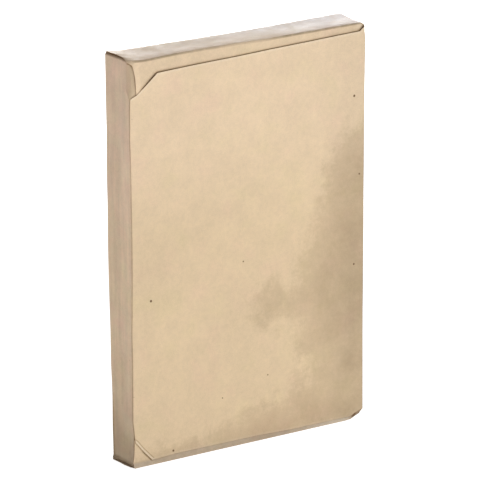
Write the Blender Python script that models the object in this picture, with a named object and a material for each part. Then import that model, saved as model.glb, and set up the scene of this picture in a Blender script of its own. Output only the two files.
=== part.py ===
# A small pressed brick of black tea, shut in its paper wrapper and standing on its lower end.
# Metres, +Z up. The front faces -Y, and the origin is under the middle of the pack's box.
#
# The wrapper is one sheet, folded round the brick in this order: the left flap turns onto the
# front first, then the top and the bottom flap, and last the front sheet, which comes round
# the right side and covers the front. The pack is shut, so brick and wrapper are one solid,
# and the layers are steps in its front.

import math

import bmesh
import bpy
from mathutils import Vector

MM = 0.001

# The pack
HEIGHT = 148.0 * MM
WIDTH = 99.5 * MM
DEPTH_AT_BASE = 13.2 * MM
DEPTH_AT_TOP = 15.5 * MM
PAPER = 0.4 * MM

# The wrapper is tight round the foot, and its back leans out between these two heights
TIGHT_BELOW = 20.0 * MM
SLACK_ABOVE = 72.0 * MM
LEAN_STEPS = 8

# Rounding of the folds
SIDE_FOLD = 1.2 * MM
END_FOLD = 0.5 * MM
SIDE_SEGMENTS = 4
END_SEGMENTS = 3

# The two corners at the right-hand end of the front are knocked in
FOOT_DENT = 3.0 * MM
FOOT_DENT_WIDTH = 8.1 * MM
FOOT_DENT_HEIGHT = 24.0 * MM
HEAD_DENT = 1.4 * MM
HEAD_DENT_WIDTH = 5.0 * MM
HEAD_DENT_HEIGHT = 12.0 * MM

# Outline of the front sheet, from the front's lower left corner, in millimetres.
# Its two left corners are cut off, and its upper edge climbs a little to the right.
UPPER_MITRE = ((0.0, 135.2), (2.2, 136.1), (11.0, 143.0))
UPPER_EDGE_END = (97.1, 145.5)
LOWER_MITRE = ((-0.1, 10.3), (7.7, 1.8))
LOWER_EDGE_END = (93.5, 1.9)

# Left border of the top flap where it lies on the front, over the left flap
FLAP_BORDER = ((2.2, 136.1), (1.8, 140.9), (1.1, 145.5), (0.4, 147.3))

# Open seams along the left side, and the gap under the free edge of the front sheet,
# which stands off most at the upper of its cut corners
SEAM_DEPTH = 2.2 * MM
EDGE_GAP_DEPTH = 1.0 * MM
UPPER_MITRE_GAP = (0.15 * MM, 0.8 * MM)
UPPER_EDGE_GAP = (0.5 * MM, 0.4 * MM)
LOWER_MITRE_GAP = (0.2 * MM, 0.5 * MM)
LOWER_EDGE_GAP = (0.3 * MM, 0.3 * MM)

OVERRUN = 1.5 * MM
FRONT = -DEPTH_AT_TOP / 2
LEFT = -WIDTH / 2
RIGHT = WIDTH / 2


def smooth_step(value, low, high):
    share = min(1.0, max(0.0, (value - low) / (high - low)))
    return share * share * (3 - 2 * share)


def depth_at(height):
    slack = smooth_step(height, TIGHT_BELOW, SLACK_ABOVE)
    return DEPTH_AT_BASE + slack * (DEPTH_AT_TOP - DEPTH_AT_BASE)


def on_front(x_mm, z_mm):
    """A place on the front, from millimetres right of and above its lower left corner."""
    return Vector((LEFT + x_mm * MM, FRONT, z_mm * MM))


def split_at(bm, place, normal):
    everything = bm.verts[:] + bm.edges[:] + bm.faces[:]
    bmesh.ops.bisect_plane(bm, geom=everything, plane_co=place, plane_no=normal)


def add_block(bm):
    """A block with the pack's outer sizes, whose back follows the slack of the wrapper."""
    bmesh.ops.create_cube(bm, size=1.0)
    bmesh.ops.scale(bm, vec=(WIDTH, DEPTH_AT_TOP, HEIGHT), verts=bm.verts)
    bmesh.ops.translate(bm, vec=(0, 0, HEIGHT / 2), verts=bm.verts)
    rise = (SLACK_ABOVE - TIGHT_BELOW) / LEAN_STEPS
    for step in range(LEAN_STEPS + 1):
        split_at(bm, (0, 0, TIGHT_BELOW + step * rise), (0, 0, 1))
    for dent in (FOOT_DENT_WIDTH, HEAD_DENT_WIDTH):
        split_at(bm, (RIGHT - dent, 0, 0), (1, 0, 0))
    for vert in bm.verts:
        if vert.co.y > 0:
            vert.co.y = FRONT + depth_at(vert.co.z)


def round_folds(bm):
    """Rounds the four upright folds, then the folds round both ends."""
    upright = [e for e in bm.edges if all(abs(abs(v.co.x) - RIGHT) < 0.01 * MM for v in e.verts)
               and abs(e.verts[0].co.x - e.verts[1].co.x) < 0.01 * MM
               and abs(e.verts[0].co.z - e.verts[1].co.z) > 0.01 * MM]
    bmesh.ops.bevel(bm, geom=upright, offset=SIDE_FOLD, segments=SIDE_SEGMENTS,
                    profile=0.5, affect="EDGES")
    for level, facing in ((0.0, -1), (HEIGHT, 1)):
        rim = [e for e in bm.edges if all(abs(v.co.z - level) < 0.01 * MM for v in e.verts)
               and any(f.normal.z * facing < 0.5 for f in e.link_faces)]
        bmesh.ops.bevel(bm, geom=rim, offset=END_FOLD, segments=END_SEGMENTS,
                        profile=0.5, affect="EDGES")


def square_base(bm):
    """Pinches the corners of the flat base, where the side folds meet the end folds."""
    sole = [v for v in bm.verts if abs(v.co.z) < 0.01 * MM]
    for vert in sole:
        if abs(vert.co.x) > RIGHT - SIDE_FOLD:
            vert.co.x = math.copysign(RIGHT - END_FOLD, vert.co.x)
            nearer_front = vert.co.y < FRONT + DEPTH_AT_BASE / 2
            vert.co.y = FRONT + (END_FOLD if nearer_front else DEPTH_AT_BASE - END_FOLD)
    bmesh.ops.remove_doubles(bm, verts=sole, dist=0.01 * MM)


def dent_corner(bm, level, travel, width, height, back_share):
    """Pushes the right-hand end of the top or the base in, less so towards the back."""
    for vert in bm.verts:
        along = 1 - (RIGHT - vert.co.x) / width
        up = 1 - abs(vert.co.z - level) / height
        if along > 0 and up > 0:
            backwards = (vert.co.y - FRONT) / DEPTH_AT_TOP
            vert.co.z += travel * along * up * (1 - backwards * (1 - back_share))


def new_object(name, bm, collection):
    bmesh.ops.recalc_face_normals(bm, faces=bm.faces)
    mesh = bpy.data.meshes.new(name)
    bm.to_mesh(mesh)
    bm.free()
    obj = bpy.data.objects.new(name, mesh)
    collection.objects.link(obj)
    return obj


def make_pack():
    bm = bmesh.new()
    add_block(bm)
    bm.normal_update()
    round_folds(bm)
    square_base(bm)
    dent_corner(bm, 0.0, FOOT_DENT, FOOT_DENT_WIDTH, FOOT_DENT_HEIGHT, back_share=0.7)
    dent_corner(bm, HEIGHT, -HEAD_DENT, HEAD_DENT_WIDTH, HEAD_DENT_HEIGHT, back_share=0.0)
    bmesh.ops.triangulate(bm, faces=bm.faces)
    return new_object("wrapped_brick", bm, bpy.context.scene.collection)


def layer_cutter(name, outline, layers, cutters):
    """Takes this many layers of paper off the front, inside an outline in millimetres."""
    bm = bmesh.new()
    near = [bm.verts.new(on_front(*point) - Vector((0, OVERRUN, 0))) for point in outline]
    face = bm.faces.new(near)
    grown = bmesh.ops.extrude_face_region(bm, geom=[face])
    far = [g for g in grown["geom"] if isinstance(g, bmesh.types.BMVert)]
    bmesh.ops.translate(bm, vec=(0, OVERRUN + layers * PAPER, 0), verts=far)
    new_object(name, bm, cutters)


def seam_cutter(name, start, end, mouth, inward, depth, cutters):
    """A wedge along a seam. mouth holds its opening, as a vector, at the start and at the end."""
    along = (end - start).normalized() * OVERRUN
    spread = (depth + OVERRUN) / depth
    bm = bmesh.new()
    rings = []
    for place, opening, shift in ((start, mouth[0], -along), (end, mouth[1], along)):
        middle = place + shift
        lip = middle - inward * OVERRUN
        corners = (lip - opening * spread / 2, lip + opening * spread / 2, middle + inward * depth)
        rings.append([bm.verts.new(corner) for corner in corners])
    first, last = rings
    bm.faces.new(first)
    bm.faces.new(last)
    for a, b in ((0, 1), (1, 2), (2, 0)):
        bm.faces.new((first[a], first[b], last[b], last[a]))
    new_object(name, bm, cutters)


def cut_layers(cutters):
    beyond = OVERRUN / MM
    top = HEIGHT / MM + beyond
    (edge_x, edge_z), corner, crest = UPPER_MITRE
    slope = (corner[1] - edge_z) / (corner[0] - edge_x)
    upper_left = (edge_x - beyond, edge_z - beyond * slope)
    end_x, end_z = UPPER_EDGE_END
    upper_right = (end_x + top - end_z, top)
    layer_cutter("above_front_sheet",
                 (upper_left, corner, crest, UPPER_EDGE_END, upper_right, (-beyond, top)),
                 1, cutters)
    layer_cutter("beside_top_flap",
                 (upper_left, *FLAP_BORDER, (FLAP_BORDER[-1][0], top), (-beyond, top)),
                 2, cutters)
    (foot_x, foot_z), toe = LOWER_MITRE
    fall = (foot_z - toe[1]) / (toe[0] - foot_x)
    lower_left = (foot_x - beyond, foot_z + beyond * fall)
    layer_cutter("below_front_sheet",
                 (lower_left, toe, LOWER_EDGE_END, (LOWER_EDGE_END[0] + beyond, -beyond),
                  (-beyond, -beyond)),
                 1, cutters)


def cut_seams(cutters):
    right = Vector((1, 0, 0))
    inwards = Vector((0, 1, 0))
    back = FRONT + DEPTH_AT_TOP
    up = Vector((0, 0, 1))
    seam_cutter("top_left_seam",
                Vector((LEFT, back, HEIGHT - PAPER - 0.45 * MM)),
                Vector((LEFT, FRONT, HEIGHT - PAPER - 0.2 * MM)),
                (up * 0.9 * MM, up * 0.4 * MM), right, SEAM_DEPTH, cutters)
    seam_cutter("bottom_left_seam",
                Vector((LEFT, FRONT + DEPTH_AT_BASE, PAPER + 0.25 * MM)),
                Vector((LEFT, FRONT, PAPER + 0.45 * MM)),
                (up * 0.5 * MM, up * 0.9 * MM), right, SEAM_DEPTH, cutters)
    corner_in = (right + inwards).normalized()
    corner_mouth = (right - inwards).normalized() * 0.5 * MM
    seam_cutter("lower_corner_seam",
                Vector((LEFT + 0.3 * MM, FRONT + 0.3 * MM, END_FOLD + OVERRUN)),
                Vector((LEFT + 0.3 * MM, FRONT + 0.3 * MM, (LOWER_MITRE[0][1] - 1.5) * MM)),
                (corner_mouth, corner_mouth * 0.6), corner_in, EDGE_GAP_DEPTH, cutters)


def cut_edge_gaps(cutters):
    """A narrow gap along each free edge of the front sheet, on the outer side of that edge."""
    inwards = Vector((0, 1, 0))
    upper_corner = UPPER_MITRE[-1]
    lower_corner = LOWER_MITRE[-1]
    edges = (("upper_mitre_gap", UPPER_MITRE[1], upper_corner, UPPER_MITRE_GAP),
             ("upper_edge_gap", upper_corner, UPPER_EDGE_END, UPPER_EDGE_GAP),
             ("lower_mitre_gap", lower_corner, LOWER_MITRE[0], LOWER_MITRE_GAP[::-1]),
             ("lower_edge_gap", LOWER_EDGE_END, lower_corner, LOWER_EDGE_GAP))
    for name, first, last, widths in edges:
        start = on_front(*first)
        end = on_front(*last)
        along = (end - start).normalized()
        away = along.cross(inwards)
        trim = along * OVERRUN
        seam_cutter(name, start + trim + away * widths[0] / 2, end - trim + away * widths[1] / 2,
                    (away * widths[0], away * widths[1]), inwards, EDGE_GAP_DEPTH, cutters)


def hidden_cutters():
    collection = bpy.data.collections.new("cutters")
    bpy.context.scene.collection.children.link(collection)
    cut_layers(collection)
    cut_seams(collection)
    cut_edge_gaps(collection)
    for cutter in collection.objects:
        cutter.hide_render = True
        cutter.display_type = "WIRE"
    return collection


def wrapping_paper():
    material = bpy.data.materials.new("wrapping_paper")
    material.use_nodes = True
    shader = material.node_tree.nodes["Principled BSDF"]
    shader.inputs["Base Color"].default_value = (0.72, 0.56, 0.37, 1.0)
    shader.inputs["Roughness"].default_value = 0.55
    shader.inputs["Metallic"].default_value = 0.0
    return material


def main():
    for obj in list(bpy.data.objects):
        bpy.data.objects.remove(obj)
    pack = make_pack()
    cut = pack.modifiers.new("layers_and_seams", "BOOLEAN")
    cut.operation = "DIFFERENCE"
    cut.operand_type = "COLLECTION"
    cut.collection = hidden_cutters()
    cut.solver = "EXACT"
    pack.data.shade_smooth()
    pack.data.set_sharp_from_angle(angle=math.radians(25))
    pack.data.materials.append(wrapping_paper())


main()
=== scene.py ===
import math

import bmesh
import bpy
import numpy as np
from mathutils import Matrix, Vector, noise


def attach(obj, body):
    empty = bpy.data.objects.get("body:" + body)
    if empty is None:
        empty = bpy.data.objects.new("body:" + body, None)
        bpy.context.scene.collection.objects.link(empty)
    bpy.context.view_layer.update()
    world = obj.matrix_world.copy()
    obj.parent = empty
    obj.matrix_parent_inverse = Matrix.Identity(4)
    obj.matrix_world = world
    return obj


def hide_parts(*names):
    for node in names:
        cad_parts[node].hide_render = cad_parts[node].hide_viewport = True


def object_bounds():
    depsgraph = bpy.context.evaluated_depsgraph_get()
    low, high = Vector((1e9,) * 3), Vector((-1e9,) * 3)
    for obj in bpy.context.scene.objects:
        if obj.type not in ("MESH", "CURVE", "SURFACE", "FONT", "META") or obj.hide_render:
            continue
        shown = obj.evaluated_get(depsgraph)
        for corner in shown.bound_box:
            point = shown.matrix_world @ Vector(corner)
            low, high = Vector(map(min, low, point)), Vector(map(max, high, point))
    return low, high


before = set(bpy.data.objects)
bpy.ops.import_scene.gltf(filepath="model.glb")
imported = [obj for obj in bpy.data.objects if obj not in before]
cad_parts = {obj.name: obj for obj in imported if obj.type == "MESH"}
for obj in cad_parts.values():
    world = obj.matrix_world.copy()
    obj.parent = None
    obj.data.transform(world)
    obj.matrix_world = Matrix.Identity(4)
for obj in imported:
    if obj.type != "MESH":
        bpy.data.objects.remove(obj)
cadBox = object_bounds()
low, high = cadBox
mm = 0.001
print("frame loaded:", [round(side / mm, 1) for side in high - low], "mm")

# Places on the pack are given in millimetres: x from its left edge, z from the floor,
# y from its front face backwards.
packWidth = (high.x - low.x) / mm
packDepth = (high.y - low.y) / mm
packHeight = high.z / mm
hair = 0.01                 # places closer than this count as the same
cutSlack = 0.001            # points closer than this to a cut lie on it
mergeWithin = 0.02


def place(x, y, z):
    return Vector((low.x + x * mm, low.y + y * mm, z * mm))


def inPack(point):
    return Vector(((point.x - low.x) / mm, (point.y - low.y) / mm, point.z / mm))


def isAt(value, level):
    return abs(value - level) < hair


def smooth(value, start, end):
    # 0 before start and 1 after end; it falls instead where end is the smaller one
    share = np.clip((value - start) / (end - start), 0, 1)
    return share * share * (3 - 2 * share)


def band(value, start, full, fall, end):
    # 0 before start, 1 from full to fall, and 0 again after end
    return smooth(value, start, full) * smooth(value, end, fall)


def follow(value, table):
    # Reads a table of (place, amount) pairs, with straight lines between them
    return np.interp(value, *zip(*table))


# Small tools for edit mode

def deselectAll():
    if bpy.context.object and bpy.context.object.mode != "OBJECT":
        bpy.ops.object.mode_set(mode="OBJECT")
    bpy.ops.object.select_all(action="DESELECT")


def workOn(piece):
    deselectAll()
    piece.select_set(True)
    bpy.context.view_layer.objects.active = piece


def chooseEdges(piece, test):
    bpy.ops.mesh.select_mode(type="EDGE")
    bpy.ops.mesh.select_all(action="DESELECT")
    mesh = bmesh.from_edit_mesh(piece.data)
    for edge in mesh.edges:
        edge.select_set(test(*(inPack(vert.co) for vert in edge.verts)))
    mesh.select_flush_mode()
    bmesh.update_edit_mesh(piece.data)


def lyingAt(**wanted):
    # A test for edges: both their ends lie at the given x, y or z.
    return lambda *ends: all(isAt(getattr(end, axis), value)
                             for end in ends for axis, value in wanted.items())


def chooseFaces(piece, test):
    bpy.ops.mesh.select_mode(type="FACE")
    bpy.ops.mesh.select_all(action="DESELECT")
    mesh = bmesh.from_edit_mesh(piece.data)
    for face in mesh.faces:
        face.select_set(test(face))
    bmesh.update_edit_mesh(piece.data)


def turn(centre, axis, steps):
    bpy.ops.mesh.spin(steps=steps, angle=math.pi / 2, center=centre, axis=axis)


def draw(x, y, z):
    bpy.ops.mesh.extrude_region_move(TRANSFORM_OT_translate={"value": (x * mm, y * mm, z * mm)})


def widen(piece, left, right):
    # Scales the chosen edge sideways until it reaches from left to right.
    mesh = bmesh.from_edit_mesh(piece.data)
    across = [vert.co.x for vert in mesh.verts if vert.select]
    first, last = min(across), max(across)
    factor = (right - left) * mm / (last - first)
    bpy.ops.transform.resize(value=(factor, 1, 1), center_override=(first, 0, 0))
    bpy.ops.transform.translate(value=(low.x + left * mm - first, 0, 0))


def applyModifiers(piece):
    workOn(piece)
    for name in [modifier.name for modifier in piece.modifiers]:
        bpy.ops.object.modifier_apply(modifier=name)


# The paper wrapper: one sheet, folded round the brick

wrapper = {
    "paper": 0.2,            # thickness
    "sideIn": 0.06,          # the flat panels lie this far inside the pack's box
    "sheetIn": 0.1,
    "topIn": 0.3,
    "flapStep": 0.28,        # depth of the end flaps under the front sheet
    "leftStep": 0.55,        # and of the left flap under those
    "backFold": 0.55,        # radii of the upright folds
    "rightFold": 0.5,
    "leftFold": 0.35,
    "endFold": 0.6,
    "foldSteps": 5,
    "sheetStart": 0.33,      # free edge of the front sheet, from the left
    "leftFlap": 14.0,
    "endFlap": (0.9, 0.9, 3.3, 4.3, 6.5),
    # Left and right borders of the end flaps: at the fold, and then after each length
    "topBorders": ((0.1, 99.2), (1.25, 98.7), (1.6, 98.2), (2.25, 97.7), (2.6, 97.0), (3.3, 95.0)),
    "footBorders": ((0.1, 98.6), (0.1, 98.4), (0.1, 98.2), (0.1, 97.9), (0.1, 97.5), (4.0, 95.0)),
    "ear": 7.0,              # the side panels' ends, turned in under the end flaps
    "earDrop": 0.26,         # they lie this far below the top flap
    # Edges that are cut up: their axis, their shortest and longest length, and the cuts
    "rows": ((0, 50, 120, 79), (0, 3, 49, 11), (2, 100, 160, 1), (2, 60, 90, 59),
             (2, 3, 50, 13), (1, 5, 20, 12)),
}


def sidePanel(piece, side, turns, w):
    # The back's upright edge turns forward, runs along the side and turns onto the front.
    start = w["sideIn"] if side < 0 else packWidth - w["sideIn"]
    hinge = start - side * w["backFold"]
    front = w["sheetIn"] if side > 0 else w["sheetIn"] + w["leftStep"]
    lastFold = w["rightFold"] if side > 0 else w["leftFold"]
    chooseEdges(piece, lyingAt(x=hinge))
    turn(place(hinge, packDepth - w["backFold"], 0), (0, 0, side), turns)
    draw(0, front + w["backFold"] + lastFold - packDepth, 0)
    hinge = start - side * lastFold
    turn(place(hinge, front + lastFold, 0), (0, 0, side), turns)
    across = hinge - w["sheetStart"] if side > 0 else w["leftFlap"]
    draw(-side * across, 0, 0)


def endPanel(piece, end, w):
    # The same for the top and the bottom; the flap widens towards the front and narrows on it.
    level = packHeight - w["topIn"] if end > 0 else 0.0
    hinge = level - end * w["endFold"]
    front = w["sheetIn"] + w["flapStep"]
    borders = w["topBorders"] if end > 0 else w["footBorders"]
    chooseEdges(piece, lyingAt(y=packDepth, z=hinge))
    turn(place(0, packDepth - w["endFold"], hinge), (-end, 0, 0), w["foldSteps"])
    draw(0, front + 2 * w["endFold"] - packDepth, 0)
    widen(piece, *borders[0])
    turn(place(0, front + w["endFold"], hinge), (-end, 0, 0), w["foldSteps"])
    for length, border in zip(w["endFlap"], borders[1:]):
        draw(0, 0, -end * length)
        widen(piece, *border)


def earPanel(piece, side, end, w):
    # The side panels' ends turn in under the top and bottom flaps.
    level = packHeight - w["topIn"] - w["endFold"] if end > 0 else w["endFold"]
    start = w["sideIn"] if side < 0 else packWidth - w["sideIn"]
    hinge = level - end * w["earDrop"]
    chooseEdges(piece, lyingAt(x=start, z=level))
    bpy.ops.transform.translate(value=(0, 0, -end * w["earDrop"] * mm))
    turn(place(start - side * w["endFold"], 0, hinge), (0, side * end, 0), w["foldSteps"])
    draw(-side * w["ear"], 0, 0)


def ladder(piece, along, shortest, longest, cuts, slant=4):
    # Cuts every long edge that runs one way, give or take its slant, so that the panels get
    # rows of small faces.
    def runs(start, end):
        step = [abs(part) for part in end - start]
        return shortest < step.pop(along) < longest and max(step) < slant
    chooseEdges(piece, runs)
    bpy.ops.mesh.subdivide(number_cuts=cuts)


def layFlat(w):
    deselectAll()
    width = packWidth - 2 * w["sideIn"] - 2 * w["backFold"]
    height = packHeight - w["topIn"] - 2 * w["endFold"]
    centre = place(packWidth / 2, packDepth, (packHeight - w["topIn"]) / 2)
    bpy.ops.mesh.primitive_plane_add(size=1, location=centre, rotation=(-math.pi / 2, 0, 0))
    piece = bpy.context.object
    piece.name = "paper_wrapper"
    piece.data.name = "paper_wrapper"
    bpy.ops.transform.resize(value=(width * mm, 1, height * mm))
    bpy.ops.object.transform_apply(location=True, rotation=True, scale=True)
    bpy.ops.object.mode_set(mode="EDIT")
    for side in (-1, 1):
        sidePanel(piece, side, w["foldSteps"], w)
    for end in (-1, 1):
        endPanel(piece, end, w)
    for side in (-1, 1):
        for end in (-1, 1):
            earPanel(piece, side, end, w)
    for row in w["rows"]:
        ladder(piece, *row)
    bpy.ops.mesh.select_all(action="SELECT")
    bpy.ops.mesh.normals_make_consistent(inside=False)
    bpy.ops.object.mode_set(mode="OBJECT")
    return piece


# Outline of the front sheet. Two of its corners are cut off, and towards the fold that it
# hangs on, both its long edges flare out to the ends of the pack.
sheetCut = {
    "upperCorner": ((0.2, 134.8), (2.75, 135.9)),
    "upperMitre": ((2.75, 135.9), (11.0, 142.7)),
    "upperEdge": ((11.0, 142.7), (97.0, 145.2)),
    "upperFlare": ((97.0, 145.2), (98.4, 146.6)),
    "lowerMitre": ((0.2, 9.6), (7.7, 1.85)),
    "lowerEdge": ((7.7, 1.85), (91.9, 1.2)),
    "lowerFlare": ((91.9, 1.2), (95.0, 0.5)),
    "beyond": 200.0,            # further than any face lies
    "headFrom": 100.0,          # the edges at the head are looked for above this
    "footTo": 30.0,             # and those at the foot below this
    "cornersTo": 30.0,          # the corners that are cut off end to the left of this
    # Finer rows for the bends: along the sheet's free edges, and on the flaps beneath
    "sheetRows": (0.3, 0.6, 0.85, 1.2, 2.1, 3.4),
    "flapRows": (-2.0, -1.0, -0.4, 0.0, 0.25, 0.5, 0.9, 1.6),
    "upperMitreRowsTo": (30, 18),     # how far right they run, on the sheet and on the flaps
    "lowerMitreRowsTo": (20, 14),
    "leftRowsTo": 10.0,
    # Low on the left side
    "sideRows": (1.15, 1.4, 1.7, 2.1, 2.6, 3.4, 9.5, 10.5),
    "sideColumns": (1.05, 1.35),
    "sideTo": 15.0,
    # On the left flap where it shows at the top, and on its fold there
    "sliverColumns": (0.7, 1.05, 1.9, 2.3, 3.2),
    "sliverFrom": 125.0,
    "sliverRows": (145.35, 145.8, 146.2, 146.65),
    "sliverPatch": ((0, 3.4), (0.5, 1.6), (143, 147.05)),     # its x, y and z
}


def onSheet(face, w, step=0.0):
    level = low.y + (w["sheetIn"] + step) * mm
    return all(abs(vert.co.y - level) < hair * mm for vert in face.verts)


def sliceFaces(piece, test, start, end, shift=0.0, outer=False):
    # Cuts the chosen faces along a line on the front; what lies beyond it can go.
    along = Vector((end[0] - start[0], 0, end[1] - start[1])).normalized()
    away = Vector((-along.z, 0, along.x))
    onLine = place(start[0], 0, start[1]) + away * shift * mm
    chooseFaces(piece, test)
    bpy.ops.mesh.bisect(plane_co=onLine, plane_no=away, threshold=cutSlack * mm)
    if outer:
        chooseFaces(piece, lambda face: test(face)
                    and (face.calc_center_median() - onLine).dot(away) > 0)
        bpy.ops.mesh.delete(type="FACE")


def outwards(cut, name):
    # An edge of the sheet, followed so that what is cut off lies to its left
    return cut[name] if name.startswith("upper") else cut[name][::-1]


def frontFaces(w, cut, first, last, step=0.0, floor=0.0, ceiling=None):
    # A test for the faces of one layer of the front, by where their middle lies
    def test(face):
        middle = inPack(face.calc_center_median())
        return (onSheet(face, w, step) and first < middle.x < last
                and floor < middle.z < (ceiling or cut["beyond"]))
    return test


def trimSheet(piece, w, cut):
    far, corners = cut["beyond"], cut["cornersTo"]
    upperBend, lowerBend = cut["upperEdge"][1][0], cut["lowerEdge"][1][0]
    lowerEnd, cornerEnd = cut["lowerFlare"][1][0], cut["upperCorner"][1][0]

    def trim(spans):
        for name, span in spans.items():
            sliceFaces(piece, frontFaces(w, cut, *span), *outwards(cut, name), outer=True)

    for x in (upperBend, lowerBend, lowerEnd):
        sliceFaces(piece, frontFaces(w, cut, 0, far), (x, 0), (x, 1))
    trim({"upperEdge": (0, upperBend), "upperFlare": (upperBend, far)})
    sliceFaces(piece, frontFaces(w, cut, 0, corners), (cornerEnd, 0), (cornerEnd, 1))
    trim({"upperMitre": (cornerEnd, corners), "upperCorner": (0, cornerEnd),
          "lowerEdge": (0, lowerBend), "lowerFlare": (lowerBend, lowerEnd),
          "lowerMitre": (0, corners)})


def addRows(piece, w, cut):
    far, edge = cut["beyond"], w["sheetStart"]
    upperMitre, lowerMitre = cut["upperMitreRowsTo"], cut["lowerMitreRowsTo"]
    onSheetTo = {"upperEdge": cut["upperEdge"][1][0], "upperMitre": upperMitre[0],
                 "lowerEdge": cut["lowerEdge"][1][0], "lowerMitre": lowerMitre[0]}
    onFlapsTo = {"upperEdge": far, "upperMitre": upperMitre[1], "lowerEdge": far,
                 "lowerMitre": lowerMitre[1]}

    def addRow(shift, step, lasts):
        for name, last in lasts.items():
            upper = name.startswith("upper")
            height = {"floor": cut["headFrom"]} if upper else {"ceiling": cut["footTo"]}
            test = frontFaces(w, cut, 0, last, step, **height)
            sliceFaces(piece, test, *outwards(cut, name), shift=shift)

    for row in cut["sheetRows"]:
        addRow(-row, 0.0, onSheetTo)
        test = frontFaces(w, cut, 0, cut["leftRowsTo"])
        sliceFaces(piece, test, (edge, 0), (edge, 1), shift=-row)
    for row in cut["flapRows"]:
        addRow(row, w["flapStep"], onFlapsTo)


def addLeftRows(piece, w, cut):
    def onSide(face):
        middle = inPack(face.calc_center_median())
        return isAt(middle.x, w["sideIn"]) and middle.z < cut["sideTo"]

    def onSliver(face):
        middle = inPack(face.calc_center_median())
        return all(first < part < last for part, (first, last) in zip(middle, cut["sliverPatch"]))

    for x in cut["sliverColumns"]:
        test = frontFaces(w, cut, 0, cut["beyond"], w["leftStep"], floor=cut["sliverFrom"])
        sliceFaces(piece, test, (x, 0), (x, 1))
    for height in cut["sliverRows"]:
        sliceFaces(piece, onSliver, (0, height), (1, height))
    for height in cut["sideRows"]:
        sliceFaces(piece, onSide, (0, height), (1, height))
    for depth in cut["sideColumns"]:
        chooseFaces(piece, onSide)
        bpy.ops.mesh.bisect(plane_co=place(0, depth, 0), plane_no=(0, 1, 0),
                            threshold=cutSlack * mm)


def cutOutline(piece, w, cut):
    workOn(piece)
    bpy.ops.object.mode_set(mode="EDIT")
    trimSheet(piece, w, cut)
    addRows(piece, w, cut)
    addLeftRows(piece, w, cut)
    bpy.ops.mesh.select_all(action="SELECT")
    bpy.ops.mesh.remove_doubles(threshold=mergeWithin * mm)
    bpy.ops.object.mode_set(mode="OBJECT")


wrapperSheet = layFlat(wrapper)
cutOutline(wrapperSheet, wrapper, sheetCut)
print("sheet folded:", len(wrapperSheet.data.polygons), "faces")


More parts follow.
